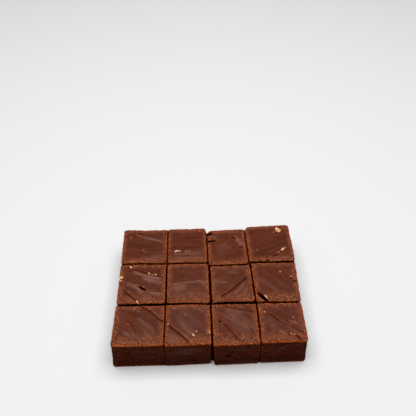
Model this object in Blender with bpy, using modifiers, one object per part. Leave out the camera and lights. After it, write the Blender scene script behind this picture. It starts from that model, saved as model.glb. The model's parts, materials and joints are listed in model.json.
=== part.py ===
"""Chocolate fudge: one spread slab cut into twelve uneven squares that still lie together.

Metres, +Z up. +X runs along the four columns and +Y along the three rows, towards the back.
The origin is the middle of the slab's underside, which is flat and rests on the surface.
"""

import math
import random

import bmesh
import bpy
from mathutils import Matrix, Vector, noise

MM = 0.001

# Driving sizes, in millimetres.
SLAB_HEIGHT = 25.0
ROWS = ("back", "middle", "front")
COLUMNS = (1, 2, 3, 4)

# Where the knife went between the columns: x at the back end and at the front end of each row.
# The first and last lines of a row are the slab's own sides.
COLUMN_LINES = {
    "back": ((-66.3, -66.2), (-30.9, -31.1), (-0.1, 0.45), (30.5, 31.8), (66.7, 67.4)),
    "middle": ((-66.1, -66.3), (-31.1, -31.1), (1.1, 1.5), (32.6, 33.6), (66.9, 66.2)),
    "front": ((-66.4, -67.5), (-31.3, -31.4), (1.1, 1.3), (33.9, 34.3), (66.0, 66.4)),
}
COLUMN_GAPS = {
    "back": (0.0, 0.9, 0.9, 0.8, 0.0),
    "middle": (0.0, 1.0, 1.6, 1.0, 0.0),
    "front": (0.0, 0.8, 1.2, 0.9, 0.0),
}
# Where it went between the rows: y at the left end and at the right end of each column, back to front.
ROW_LINES = {
    1: ((52.7, 52.2), (17.9, 17.3), (-19.6, -19.9), (-53.6, -53.6)),
    2: ((52.2, 52.8), (17.3, 16.8), (-19.9, -20.3), (-54.0, -53.2)),
    3: ((50.4, 51.9), (14.6, 15.2), (-19.7, -19.9), (-54.6, -53.9)),
    4: ((52.8, 54.6), (16.2, 16.5), (-20.6, -20.8), (-53.7, -53.2)),
}
ROW_GAPS = {
    1: (0.0, 0.9, 1.3, 0.0),
    2: (0.0, 0.8, 0.9, 0.0),
    3: (0.0, 0.9, 1.3, 0.0),
    4: (0.0, 0.9, 1.0, 0.0),
}
# How far each square stands above or below the slab's height.
HEIGHT_OFFSETS = {
    "back": (0.0, 0.2, -0.6, 0.6),
    "middle": (-0.1, 0.1, -0.3, 0.1),
    "front": (0.1, -0.1, -0.2, 0.2),
}

# Sides are told apart by the axis they face and its sign.
LEFT = (0, -1)
RIGHT = (0, 1)
FRONT = (1, -1)
BACK = (1, 1)

CELLS = 10  # grid cells along each side of a square's top
SIDE_CELLS = 3  # grid cells up each side
EDGE_RADIUS = 0.8  # worn corners
RIM_WEAR = 0.7  # how worn the top's rim is, as a share of a corner

# How far a side stands out at its base, beyond its top.
SLUMP = 0.9  # the slab's own sides, as soft fudge spreads
WEDGE = 0.12  # the cuts, as the knife is thicker than its edge
DRAWN_IN = {("front", 2, RIGHT): -0.4, ("front", 3, LEFT): -0.9}  # fudge that came away beside one cut

WAVE_HEIGHT = 0.45  # long waves of the spread top
WAVE_LENGTH = 17.0
OUTER_ROUGHNESS = 0.25  # unevenness of the slab's own sides
CUT_ROUGHNESS = 0.1  # unevenness of the cuts between squares
ROUGHNESS_LENGTH = 9.0

# Furrows that the spatula drew and cracks in the crust: (points in plan, half width, depth).
FURROWS = {
    "long_stroke": (
        ((-58.5, -10.5), (-52.5, -16.5), (-44.5, -24.0), (-37.5, -30.0), (-29.3, -37.0), (-21.5, -44.0),
         (-13.0, -53.5)),
        0.65, 0.55,
    ),
    "rise_stroke": (((30.0, 3.5), (25.5, -0.5), (15.5, -9.5), (8.0, -15.5)), 0.7, 0.5),
    "crumb_stroke": (((-59.5, 15.0), (-49.5, 10.0), (-40.0, 6.2), (-32.5, 4.0)), 0.6, 0.45),
    "level_stroke": (((-49.5, 28.8), (-37.5, 27.5), (-24.5, 28.8), (-2.5, 30.0)), 0.5, 0.3),
    "hook_stroke": (((-59.5, -31.0), (-53.0, -38.0), (-50.5, -44.0)), 0.55, 0.4),
    "upper_stroke": (((8.5, -22.0), (18.5, -24.8), (33.0, -28.0)), 0.55, 0.45),
    "steep_stroke": (((6.0, -32.0), (11.5, -40.0), (21.5, -51.5)), 0.6, 0.5),
    "right_stroke": (((40.0, -29.5), (48.5, -36.0), (57.5, -42.0), (66.0, -47.0)), 0.6, 0.5),
    "corner_crack": (((51.0, -45.5), (58.5, -48.5), (65.5, -53.5)), 0.55, 0.7),
    "slot": (((-51.8, -3.5), (-49.0, -5.6), (-46.4, -7.7)), 0.8, 2.4),
    "corner_split": (((35.4, -11.6), (38.8, -16.2), (42.0, -21.0)), 1.0, 4.5),
    "edge_notch": (((-0.8, 45.6), (2.2, 46.4), (4.6, 47.8)), 0.8, 1.6),
    "side_notch": (((-0.6, 38.6), (3.4, 39.7), (7.6, 39.4)), 0.7, 1.2),
    "round_pit": (((20.0, 42.3), (21.5, 42.8)), 0.9, 1.5),
    "shard_crack": (((51.3, 21.6), (55.8, 24.2), (60.6, 28.8)), 0.5, 0.9),
    "left_bite": (((-67.5, 3.2), (-63.8, 3.7)), 1.3, 2.4),
    "right_bite": (((61.3, 1.2), (63.6, -1.6), (67.5, -3.6)), 0.8, 1.3),
    "small_notch": (((5.8, -34.2), (8.2, -37.4)), 0.7, 1.0),
    "ragged_edge": (((38.6, 16.0), (41.0, 18.2), (44.0, 17.0), (46.2, 19.2), (48.5, 16.2)), 0.7, 0.9),
}
FURROW_RISE = 0.3  # how far a furrow's middle stands above the surface, as a share of its half width
FURROW_END = 0.45  # a furrow's width at its ends, as a share of its width halfway
FURROW_STEPS = 3  # straight runs between two of its points

# Holes that open on the front of the third column: (x, height, radius).
FRONT_HOLES = ((12.2, 10.8, 1.4), (15.4, 15.6, 0.7))
FRONT_HOLE_MIDDLE = 0.4  # how far outside the front their middles lie

# Bits of nut that stand out of the top: (x, y, length, width, degrees).
NUT_BITS = (
    (-24.2, 28.8, 3.0, 1.5, 20),
    (-21.6, 29.2, 2.6, 1.0, -5),
    (56.4, 49.3, 2.8, 2.0, 70),
    (58.5, 47.8, 2.5, 1.7, 60),
    (58.1, 27.4, 5.2, 1.6, 52),
    (61.4, 30.3, 3.0, 1.0, 30),
    (-58.6, 14.7, 3.2, 1.5, -28),
    (-43.2, 7.7, 3.4, 1.2, -25),
    (-40.3, 6.9, 2.0, 1.5, 50),
    (-64.6, 5.2, 2.4, 2.0, 10),
    (-51.2, -17.6, 2.8, 1.1, -45),
    (54.5, 6.8, 1.6, 1.3, 0),
    (62.5, 2.2, 1.6, 1.3, 0),
    (41.4, -15.6, 3.6, 1.2, -58),
    (-17.5, -29.9, 1.5, 1.3, 0),
    (-11.8, -45.8, 2.6, 1.3, -45),
    (-9.2, -43.3, 1.5, 1.2, 0),
    (54.7, -47.2, 1.8, 1.2, 20),
    (57.4, -47.3, 1.6, 1.1, 0),
)
NUT_HEIGHT = 1.1
NUT_RISE = 0.1  # how far a bit's middle stands above the surface
NUT_UNEVENNESS = 0.15
NUT_SEED = 12

UNIT_EDGE = 0.499  # beyond this a point of the unit cube lies on its outside
TOUCH = 0.2  # a cutter or a bit counts for a square that it reaches this far into


def clear_scene():
    for obj in list(bpy.data.objects):
        bpy.data.objects.remove(obj, do_unlink=True)


def add_collection(name):
    collection = bpy.data.collections.new(name)
    bpy.context.scene.collection.children.link(collection)
    return collection


def fudge_material():
    """Dark brown, satin where the spatula smoothed it."""
    material = bpy.data.materials.new("chocolate_fudge")
    material.use_nodes = True
    shader = material.node_tree.nodes["Principled BSDF"]
    shader.inputs["Base Color"].default_value = (0.127, 0.042, 0.025, 1.0)
    shader.inputs["Roughness"].default_value = 0.5
    shader.inputs["Metallic"].default_value = 0.0
    return material


def lerp(start, end, share):
    return start + (end - start) * share


def top_wave(x, y):
    """Height in mm of the long waves in the spread top, at a place in plan."""
    return WAVE_HEIGHT * noise.noise(Vector((x / WAVE_LENGTH, y / WAVE_LENGTH, 0.5)))


def square_height(row, column):
    return SLAB_HEIGHT + HEIGHT_OFFSETS[row][column - 1]


def square_walls(row, column):
    """A square's walls: x of the left and right ones as (front, back), y of the others as (left, right)."""
    c, r = column - 1, ROWS.index(row)
    lines, gaps = COLUMN_LINES[row], COLUMN_GAPS[row]
    left = [x + gaps[c] / 2 for x in reversed(lines[c])]
    right = [x - gaps[c + 1] / 2 for x in reversed(lines[c + 1])]
    lines, gaps = ROW_LINES[column], ROW_GAPS[column]
    back = [y - gaps[r] / 2 for y in lines[r]]
    front = [y + gaps[r + 1] / 2 for y in lines[r + 1]]
    return left, right, front, back


def place_in_square(walls, u, v):
    """The place in plan at a share u of the way right and v of the way back."""
    left, right, front, back = walls
    return lerp(lerp(*left, v), lerp(*right, v), u), lerp(lerp(*front, u), lerp(*back, u), v)


def grid_cube():
    """A cube one unit wide whose top is a grid, with fewer cells up the sides and a plain base."""
    bm = bmesh.new()
    bmesh.ops.create_cube(bm, size=1.0)
    level = [e for e in bm.edges if abs(e.verts[0].co.z - e.verts[1].co.z) < 0.5]
    bmesh.ops.subdivide_edges(bm, edges=level, cuts=CELLS - 1, use_grid_fill=True)
    upright = [e for e in bm.edges if abs(e.verts[0].co.z - e.verts[1].co.z) > 0.5]
    bmesh.ops.subdivide_edges(bm, edges=upright, cuts=SIDE_CELLS - 1, use_grid_fill=True)
    base = [f for f in bm.faces if f.normal.z < -0.5]
    bmesh.ops.dissolve_faces(bm, faces=base, use_verts=False)
    return bm


def weight_worn_edges(bm):
    """Marks the edges that wear round: the top's rim and the four corners, but not the base."""
    weights = bm.edges.layers.float.new("bevel_weight_edge")
    for edge in bm.edges:
        a, b = (v.co for v in edge.verts)
        on_top = min(a.z, b.z) > UNIT_EDGE
        on_rim = any(min(abs(a[i]), abs(b[i])) > UNIT_EDGE and a[i] * b[i] > 0 for i in (0, 1))
        on_corner = all(min(abs(a[i]), abs(b[i])) > UNIT_EDGE for i in (0, 1))
        if on_corner:
            edge[weights] = 1.0
        elif on_top and on_rim:
            edge[weights] = RIM_WEAR


def is_own_side(row, column, side):
    """Whether a side is the slab's own and not a cut."""
    own = {
        LEFT: column == COLUMNS[0],
        RIGHT: column == COLUMNS[-1],
        FRONT: row == ROWS[-1],
        BACK: row == ROWS[0],
    }
    return own[side]


def side_offset(row, column, side, x, y, z):
    """How far in mm a point of a side stands out from its straight, upright wall."""
    own = is_own_side(row, column, side)
    roughness = OUTER_ROUGHNESS if own else CUT_ROUGHNESS
    lean = DRAWN_IN.get((row, column, side), SLUMP if own else WEDGE)
    seed = 10 * side[0] + side[1]
    place = Vector((x, y, z)) / ROUGHNESS_LENGTH + Vector((0, 0, seed))
    return roughness * noise.noise(place) + lean * (1 - z / SLAB_HEIGHT)


def shape_square(bm, row, column):
    """Moves the unit cube's points to the square's uneven walls and waved top, in mm."""
    walls = square_walls(row, column)
    height = square_height(row, column)
    for vert in bm.verts:
        unit = vert.co.copy()
        x, y = place_in_square(walls, unit.x + 0.5, unit.y + 0.5)
        z = (unit.z + 0.5) * (height + top_wave(x, y))
        shift = Vector((0.0, 0.0, 0.0))
        for side in (LEFT, RIGHT, FRONT, BACK):
            axis, sign = side
            if unit[axis] * sign > UNIT_EDGE:
                shift[axis] += sign * side_offset(row, column, side, x, y, z)
        vert.co = Vector((x, y, z)) + shift


def add_square(row, column, material, collection):
    """One square of fudge, with its origin in the middle of its underside."""
    bm = grid_cube()
    weight_worn_edges(bm)
    shape_square(bm, row, column)
    centre = Vector((*place_in_square(square_walls(row, column), 0.5, 0.5), 0.0))
    bmesh.ops.transform(bm, matrix=Matrix.Scale(MM, 4) @ Matrix.Translation(-centre), verts=bm.verts)
    bmesh.ops.recalc_face_normals(bm, faces=bm.faces)
    mesh = bpy.data.meshes.new(f"square_{row}_{column}")
    bm.to_mesh(mesh)
    bm.free()
    square = bpy.data.objects.new(mesh.name, mesh)
    square.location = centre * MM
    mesh.materials.append(material)
    collection.objects.link(square)
    bevel = square.modifiers.new("worn_edges", "BEVEL")
    bevel.limit_method = "WEIGHT"
    bevel.width = EDGE_RADIUS * MM
    bevel.segments = 2
    return square


def level_at(x, y):
    """Height in mm of the top at a place in plan: that of the square nearest to it."""
    def distance(key):
        centre = place_in_square(square_walls(*key), 0.5, 0.5)
        return math.hypot(centre[0] - x, centre[1] - y)

    nearest = min(((row, column) for row in ROWS for column in COLUMNS), key=distance)
    return square_height(*nearest) + top_wave(x, y)


def add_cutter(name, mesh, collection):
    cutter = bpy.data.objects.new(name, mesh)
    cutter.display_type = "WIRE"
    cutter.hide_render = True
    collection.objects.link(cutter)
    return cutter


def add_furrow(name, points, half_width, depth, collection):
    """A tapered tube along a smooth line on the top, flattened or deepened to the furrow's section."""
    curve = bpy.data.curves.new(name, "CURVE")
    curve.dimensions = "3D"
    curve.twist_mode = "Z_UP"
    curve.bevel_depth = half_width * MM
    curve.bevel_resolution = 2
    curve.resolution_u = FURROW_STEPS
    curve.use_fill_caps = True
    spline = curve.splines.new("BEZIER")
    spline.bezier_points.add(len(points) - 1)
    for number, (bezier, (x, y)) in enumerate(zip(spline.bezier_points, points)):
        bezier.co = (x * MM, y * MM, 0.0)
        bezier.handle_left_type = bezier.handle_right_type = "AUTO"
        share = number / (len(points) - 1)
        bezier.radius = lerp(FURROW_END, 1.0, math.sin(math.pi * share))
    tube = bpy.data.objects.new(name + "_tube", curve)
    collection.objects.link(tube)
    graph = bpy.context.evaluated_depsgraph_get()
    mesh = bpy.data.meshes.new_from_object(tube.evaluated_get(graph))
    bpy.data.objects.remove(tube)
    bm = bmesh.new()
    bm.from_mesh(mesh)
    bmesh.ops.remove_doubles(bm, verts=bm.verts, dist=0.01 * MM)
    for vert in bm.verts:
        level = level_at(vert.co.x / MM, vert.co.y / MM) + FURROW_RISE * half_width
        vert.co.z = level * MM + vert.co.z * depth / half_width
    bmesh.ops.recalc_face_normals(bm, faces=bm.faces)
    bm.to_mesh(mesh)
    bm.free()
    mesh.name = name
    return add_cutter(name, mesh, collection)


def add_front_hole(number, x, height, radius, collection):
    """A rough ball that bites into the front."""
    bm = bmesh.new()
    bmesh.ops.create_icosphere(bm, subdivisions=1, radius=radius * MM)
    y = ROW_LINES[3][-1][0] - FRONT_HOLE_MIDDLE
    bmesh.ops.translate(bm, vec=Vector((x, y, height)) * MM, verts=bm.verts)
    mesh = bpy.data.meshes.new(f"front_hole_{number}")
    bm.to_mesh(mesh)
    bm.free()
    return add_cutter(mesh.name, mesh, collection)


def add_nut_bit(number, x, y, length, width, degrees, draw, collection):
    """A broken bit of nut, half sunk in the top."""
    bm = bmesh.new()
    bmesh.ops.create_icosphere(bm, subdivisions=1, radius=0.5)
    for vert in bm.verts:
        vert.co *= draw.uniform(1 - NUT_UNEVENNESS, 1 + NUT_UNEVENNESS)
    size = Matrix.Diagonal((length * MM, width * MM, NUT_HEIGHT * MM, 1.0))
    turn = Matrix.Rotation(math.radians(degrees), 4, "Z")
    place = Matrix.Translation(Vector((x, y, level_at(x, y) + NUT_RISE)) * MM)
    bmesh.ops.transform(bm, matrix=place @ turn @ size, verts=bm.verts)
    mesh = bpy.data.meshes.new(f"nut_bit_{number}")
    bm.to_mesh(mesh)
    bm.free()
    bit = bpy.data.objects.new(mesh.name, mesh)
    collection.objects.link(bit)
    return bit


def boolean(square, name, operation, collection):
    modifier = square.modifiers.new(name, "BOOLEAN")
    modifier.operation = operation
    modifier.operand_type = "COLLECTION"
    modifier.collection = collection
    modifier.solver = "EXACT"


def apply_modifiers(obj):
    """Makes the object's mesh what its modifiers give."""
    graph = bpy.context.evaluated_depsgraph_get()
    mesh = bpy.data.meshes.new_from_object(obj.evaluated_get(graph))
    name, old = obj.data.name, obj.data
    obj.modifiers.clear()
    obj.data = mesh
    bpy.data.meshes.remove(old)
    mesh.name = name


def reaches(obj, square):
    """Whether an object's box reaches into a square's box."""
    def span(item, axis):
        places = [(item.matrix_world @ Vector(corner))[axis] for corner in item.bound_box]
        return min(places), max(places)

    for axis in range(3):
        low, high = span(obj, axis)
        start, end = span(square, axis)
        if low > end - TOUCH * MM or high < start + TOUCH * MM:
            return False
    return True


def carve_and_join(square, cutters, bits):
    """Cuts the furrows and holes that reach this square, then joins the bits of nut that sit on it."""
    near = {}
    for name, operation, objects in (("carve", "DIFFERENCE", cutters), ("join", "UNION", bits)):
        near[name] = bpy.data.collections.new(f"{square.name}_{name}")
        found = [obj for obj in objects if reaches(obj, square)]
        for obj in found:
            near[name].objects.link(obj)
        if found:
            boolean(square, name, operation, near[name])
    apply_modifiers(square)
    for collection in near.values():
        bpy.data.collections.remove(collection)


def main():
    clear_scene()
    slab = add_collection("fudge")
    cutters = add_collection("cutters")
    nuts = add_collection("nut_bits")
    material = fudge_material()
    squares = [add_square(row, column, material, slab) for row in ROWS for column in COLUMNS]
    for name, (points, half_width, depth) in FURROWS.items():
        add_furrow(name, points, half_width, depth, cutters)
    for number, (x, height, radius) in enumerate(FRONT_HOLES, start=1):
        add_front_hole(number, x, height, radius, cutters)
    draw = random.Random(NUT_SEED)
    for number, (x, y, length, width, degrees) in enumerate(NUT_BITS, start=1):
        add_nut_bit(number, x, y, length, width, degrees, draw, nuts)
    bpy.context.view_layer.update()
    for square in squares:
        carve_and_join(square, list(cutters.objects), list(nuts.objects))
    for bit in list(nuts.objects):
        bpy.data.objects.remove(bit)
    bpy.data.collections.remove(nuts)


main()
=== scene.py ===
import json
import math
import random

import bpy
import numpy as np
from mathutils import Euler, Matrix, Vector, noise
from mathutils.bvhtree import BVHTree

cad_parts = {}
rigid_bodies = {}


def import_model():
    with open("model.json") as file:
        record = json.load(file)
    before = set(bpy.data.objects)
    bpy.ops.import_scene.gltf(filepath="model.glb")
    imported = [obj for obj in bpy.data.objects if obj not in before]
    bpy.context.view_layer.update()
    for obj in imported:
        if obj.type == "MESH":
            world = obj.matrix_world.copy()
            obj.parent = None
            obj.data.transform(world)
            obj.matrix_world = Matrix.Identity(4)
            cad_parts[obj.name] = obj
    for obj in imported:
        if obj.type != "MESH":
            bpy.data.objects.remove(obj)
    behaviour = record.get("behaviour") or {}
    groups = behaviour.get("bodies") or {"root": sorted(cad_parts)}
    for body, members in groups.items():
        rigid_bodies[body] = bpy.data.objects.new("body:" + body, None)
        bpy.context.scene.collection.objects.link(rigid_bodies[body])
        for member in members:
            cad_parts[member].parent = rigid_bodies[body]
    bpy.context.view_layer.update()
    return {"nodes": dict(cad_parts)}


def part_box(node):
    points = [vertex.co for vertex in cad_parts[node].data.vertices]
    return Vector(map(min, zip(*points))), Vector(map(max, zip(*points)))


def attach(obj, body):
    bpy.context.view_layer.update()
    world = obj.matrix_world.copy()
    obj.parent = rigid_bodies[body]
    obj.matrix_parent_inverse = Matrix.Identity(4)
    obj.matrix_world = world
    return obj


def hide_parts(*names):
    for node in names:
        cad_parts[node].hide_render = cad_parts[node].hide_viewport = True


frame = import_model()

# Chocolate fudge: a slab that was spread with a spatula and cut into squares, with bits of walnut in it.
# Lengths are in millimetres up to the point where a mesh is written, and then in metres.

MM = 0.001
SQUARES = sorted(frame["nodes"])
USUAL_HEIGHT = 25.0  # of the slab
FAR_ABOVE = 40.0  # well over its top

# The camera, fitted to the photograph: it looks down on the slab from the front.
CAMERA_ELEVATION = 44.913
CAMERA_TURN = -1.7015
CAMERA_DISTANCE = 453.59
CAMERA_LENS = 46.54
CAMERA_TARGET = (2.1, 76.4, 25.0)

# How the blocks are made: an even cube, worn along its edges, then one fine even skin.
BLOCK_CUTS = 11
CORNER_WEAR = 0.23  # the frame's corners are worn back by this much along x and y
EDGE_WEAR = 0.55
SKIN = 0.3  # how far apart the skin's points are

# Long waves of the top, the same as in the solids.
WAVE_HEIGHT = 0.45
WAVE_LENGTH = 17.0

# The way the spatula went over each square, in degrees from +x, and how much its path bends.
SPREAD = {
    "back_1": (-17, 0.004),
    "back_2": (3, 0.003),
    "back_3": (20, -0.006),
    "back_4": (24, 0.004),
    "middle_1": (-27, 0.007),
    "middle_2": (-6, -0.006),
    "middle_3": (38, 0.004),
    "middle_4": (-38, 0.003),
    "front_1": (-42, 0.006),
    "front_2": (-43, 0.004),
    "front_3": (-46, 0.008),
    "front_4": (-34, 0.004),
}

# Where the flat of the knife pressed the front smooth, painted paler and greyer as the sheen it reflects: x,
# height, length, width, degrees from level.
PRESSED = (
    (-15.5, 16.5, 22.0, 10.0, 4),
    (-26.0, 14.0, 9.0, 6.0, 0),
    (20.0, 18.0, 14.0, 5.0, 0),
    (47.0, 17.5, 12.0, 5.0, 25),
    (-45.0, 18.5, 16.0, 3.0, -8),
)

# Strokes of the spatula's edge: points in plan, half width and depth of the groove, and how far the
# fudge stands up beside it on the left and on the right of its way.
STROKES = (
    (((-63.5, -6.0), (-58.5, -10.5), (-52.5, -16.5), (-48.5, -21.6), (-44.5, -24.0), (-41.5, -26.2),
      (-37.5, -30.0), (-34.5, -33.4), (-29.3, -36.6), (-26.5, -39.6), (-21.5, -44.1), (-17.5, -48.6),
      (-13.0, -53.5)), 0.6, 0.48, 0.3, 0.0),
    (((30.0, 3.5), (25.5, -0.6), (20.5, -5.1), (15.5, -9.6), (10.5, -13.1), (8.0, -15.6)),
     0.75, 0.45, -0.05, 0.3),
    (((-57.5, 13.2), (-53.0, 11.2), (-48.5, 9.5), (-44.0, 7.8), (-38.5, 5.8), (-32.5, 3.9)),
     0.55, 0.4, 0.28, 0.0),
    (((-50.5, 28.6), (-43.5, 27.6), (-32.5, 27.4), (-24.5, 28.7), (-14.5, 29.2), (-2.5, 29.9)),
     0.4, 0.2, 0.12, -0.25),
    (((-58.5, 49.2), (-52.0, 46.2), (-44.5, 43.4), (-38.5, 41.4), (-32.5, 39.6)),
     0.8, 0.1, -0.32, 0.12),
    (((-59.5, -31.0), (-55.5, -34.6), (-53.0, -38.1), (-51.3, -41.1), (-50.5, -43.2)),
     0.45, 0.3, 0.22, -0.05),
    (((8.5, -22.1), (12.5, -23.3), (18.5, -24.9), (25.5, -26.4), (33.2, -28.1)), 0.5, 0.32, 0.3, 0.0),
    (((6.0, -32.1), (8.5, -35.6), (11.5, -40.1), (15.5, -45.1), (18.5, -49.6), (21.5, -51.8)),
     0.5, 0.36, 0.2, 0.05),
    (((40.5, -29.6), (44.5, -32.1), (48.5, -36.1), (52.5, -39.1), (57.5, -42.1), (65.5, -47.1)),
     0.55, 0.4, 0.3, 0.0),
    (((51.0, -45.6), (56.5, -46.9), (58.5, -48.6), (61.5, -51.6), (64.8, -53.4)), 0.5, 0.5, 0.12, 0.12),
    (((-48.5, -3.1), (-45.5, -6.1), (-41.5, -8.1), (-32.5, -8.1)), 0.6, 0.15, 0.22, 0.0),
    (((-43.0, -11.0), (-37.5, -14.6), (-34.5, -17.1)), 0.5, 0.2, 0.1, 0.05),
    (((-24.5, -23.1), (-14.5, -23.1), (-7.5, -25.6), (-3.5, -28.1)), 0.5, 0.12, 0.05, 0.2),
    (((-10.5, -47.1), (-7.5, -50.1)), 0.4, 0.3, 0.1, 0.0),
    (((-14.5, -1.1), (-7.5, -4.1), (-2.5, -6.1)), 0.6, 0.12, 0.15, 0.0),
    (((40.5, 0.9), (44.5, -4.0), (48.5, -9.1)), 0.7, 0.1, 0.15, 0.0),
    (((47.5, 42.9), (51.5, 44.4), (55.5, 45.7)), 0.5, 0.15, 0.0, 0.12),
    (((7.5, 39.3), (14.5, 39.9), (20.5, 42.4)), 0.45, 0.18, 0.05, 0.12),
    (((-61.5, -0.1), (-55.0, -3.1), (-50.5, -6.5)), 0.6, 0.12, 0.2, 0.0),
    (((-60.0, -37.5), (-55.0, -44.0), (-49.0, -49.5)), 0.6, 0.14, 0.2, 0.0),
    (((-48.0, -31.0), (-42.5, -38.0), (-36.0, -44.0)), 0.7, 0.12, 0.18, 0.0),
    (((24.0, 3.0), (28.0, -4.5), (31.5, -10.0)), 0.6, 0.1, 0.12, 0.0),
    (((12.5, -29.0), (20.0, -37.0), (28.5, -44.5)), 0.8, 0.08, 0.15, 0.0),
    (((44.0, -36.0), (50.0, -42.0), (54.0, -45.0)), 0.6, 0.1, 0.15, 0.0),
)
REACH = 3.6  # how far the raised fudge beside a stroke carries
DEEP_STROKE = 0.35  # a groove from this depth on is fully coloured as a groove
LIP_WIDTH = 0.3  # the torn line on the raised side of a stroke

# Bands that the spatula polished, painted paler and greyer as the sheen they reflect: points in plan, half
# width, strength.
POLISHED = (
    (((-57.5, 48.5), (-53.5, 46.5), (-49.5, 44.8), (-44.5, 43.0), (-39.5, 41.1),
      (-35.5, 40.0), (-32.3, 39.2)), 1.3, 0.85),
    (((-45.5, 25.8), (-39.5, 25.1), (-32.5, 25.1)), 2.3, 0.4),
    (((-51.5, 21.6), (-41.5, 21.6), (-32.5, 21.9)), 2.4, 0.3),
    (((-27.5, 26.3), (-19.5, 26.8), (-9.5, 27.3), (-1.5, 27.6)), 2.2, 0.38),
    (((-27.5, 21.8), (-14.5, 22.3), (-1.5, 22.9)), 2.8, 0.3),
    (((1.5, 45.0), (5.5, 43.8), (9.5, 43.2)), 1.8, 0.4),
    (((22.8, 41.2), (27.0, 40.2)), 2.1, 1.0),
    (((24.6, 38.0), (28.2, 35.4)), 2.4, 0.85),
    (((6.5, 27.9), (13.5, 31.9), (19.5, 35.0)), 4.0, 0.22),
    (((45.5, 19.8), (55.5, 20.6), (63.5, 19.8)), 1.3, 0.35),
    (((-57.5, 10.9), (-49.5, 7.0), (-43.5, 4.8), (-37.5, 3.4), (-33.0, 2.3)), 1.15, 0.85),
    (((-50.5, 5.0), (-44.5, 2.2), (-39.5, 0.6), (-35.5, -1.2), (-33.0, -2.5)), 1.5, 0.85),
    (((-62.5, 0.6), (-58.0, -1.2), (-54.5, -3.2), (-52.0, -5.8), (-49.7, -8.5), (-46.7, -10.2)), 1.2, 0.75),
    (((-44.7, -7.0), (-42.5, -9.0), (-39.5, -10.1), (-36.0, -10.5), (-32.5, -10.1)), 1.15, 0.75),
    (((-48.5, -2.9), (-45.9, -5.6)), 0.4, 0.8),
    (((-49.5, -11.6), (-44.5, -13.9), (-38.5, -15.6)), 2.4, 0.32),
    (((-60.5, -9.1), (-56.0, -8.2)), 1.2, 0.4),
    (((-28.5, -3.8), (-23.5, -2.5), (-17.5, -1.5), (-11.5, -0.9), (-6.5, -0.5), (-1.5, -0.5)), 1.1, 0.62),
    (((-28.0, -5.8), (-20.5, -6.0), (-14.0, -5.6)), 2.8, 0.55),
    (((-5.5, -2.5), (-1.5, -3.7)), 1.3, 0.4),
    (((-18.5, -10.1), (-10.5, -11.1), (-2.5, -10.1)), 1.8, 0.35),
    (((4.0, -0.5), (9.5, -0.9), (15.5, -1.6)), 1.0, 0.6),
    (((12.5, 7.5), (18.5, 7.9), (24.5, 7.3)), 1.0, 0.4),
    (((28.0, -0.6), (23.5, -7.0), (18.0, -13.6)), 1.3, 0.5),
    (((30.5, -3.0), (27.0, -9.6), (24.5, -16.1)), 1.2, 0.42),
    (((16.5, -12.1), (12.0, -16.1)), 1.2, 0.35),
    (((37.0, 3.0), (44.5, -5.0), (51.5, -10.1)), 2.0, 0.2),
    (((35.1, -14.6), (38.0, -18.2)), 1.3, 0.45),
    (((-51.5, -30.6), (-45.5, -35.0), (-40.5, -40.0), (-36.5, -45.0)), 1.2, 0.42),
    (((-47.5, -42.0), (-43.5, -45.0), (-40.0, -48.4)), 1.1, 0.42),
    (((-60.5, -42.0), (-56.0, -44.4), (-52.5, -46.2), (-49.5, -48.4)), 1.4, 0.5),
    (((-40.9, -24.7), (-36.9, -29.2), (-33.3, -32.9)), 0.5, 0.7),
    (((-28.5, -44.0), (-24.5, -48.6), (-20.5, -50.6)), 2.4, 0.4),
    (((-27.5, -37.2), (-19.5, -44.1), (-13.1, -50.8)), 0.55, 0.45),
    (((-25.5, -32.0), (-18.5, -38.4), (-11.5, -46.0), (-8.5, -50.4)), 1.6, 0.36),
    (((-26.5, -25.1), (-19.5, -22.4), (-11.5, -23.1), (-5.9, -26.1), (-3.5, -28.6)), 0.8, 0.3),
    (((9.0, -28.1), (15.5, -36.0), (20.5, -43.0), (24.5, -49.0)), 1.3, 0.22),
    (((13.5, -27.1), (21.5, -36.4), (27.5, -44.0)), 5.0, 0.28),
    (((-22.0, -27.0), (-14.0, -34.0), (-6.0, -42.0)), 6.0, 0.14),
    (((6.0, 4.0), (16.0, -6.0), (28.0, -13.0)), 6.0, 0.1),
    (((-28.0, -9.0), (-15.0, -9.5), (-3.0, -8.0)), 6.0, 0.12),
    (((20.5, -29.1), (27.5, -37.0), (32.0, -43.4)), 1.4, 0.16),
    (((9.5, -25.1), (17.5, -27.2), (26.5, -29.4)), 1.6, 0.3),
    (((46.0, -34.6), (50.5, -37.9), (56.5, -41.8), (61.0, -46.0)), 0.9, 0.5),
    (((54.1, -35.9), (58.5, -37.8), (63.5, -39.6)), 1.0, 0.5),
    (((46.5, -43.0), (50.5, -46.2), (53.5, -49.2)), 1.3, 0.45),
    (((40.0, -32.5), (42.5, -38.0), (45.5, -44.0)), 2.6, 0.22),
)

# Cracks and pits in the top: x, y, length, width, depth, degrees from +x.
CRACKS = (
    (-48.8, -5.6, 7.4, 1.9, 3.2, -37),
    (38.9, -15.9, 11.2, 2.7, 6.0, -52),
    (1.9, 46.6, 6.6, 2.7, 3.0, 28),
    (3.5, 39.4, 9.0, 1.9, 2.2, 6),
    (20.8, 42.5, 2.5, 2.1, 2.2, 0),
    (26.3, 32.4, 5.0, 1.0, 0.9, -6),
    (55.7, 45.7, 1.8, 1.3, 1.3, 20),
    (53.2, 22.9, 6.0, 1.1, 1.4, 32),
    (-66.3, 3.3, 3.6, 2.2, 2.6, 0),
    (62.0, 0.4, 2.8, 1.2, 1.3, -70),
    (64.3, -2.3, 4.6, 1.2, 1.4, -32),
    (7.0, -35.8, 3.8, 1.2, 1.2, -48),
    (40.4, 17.0, 1.8, 3.2, 1.2, 10),
    (46.2, 17.2, 2.4, 3.4, 1.3, -15),
    (59.8, -49.6, 5.0, 1.0, 1.0, -48),
    (-53.2, 48.7, 5.5, 1.4, 0.8, -24),
    (-31.0, -1.4, 2.0, 1.4, 0.9, 0),
)
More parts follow.
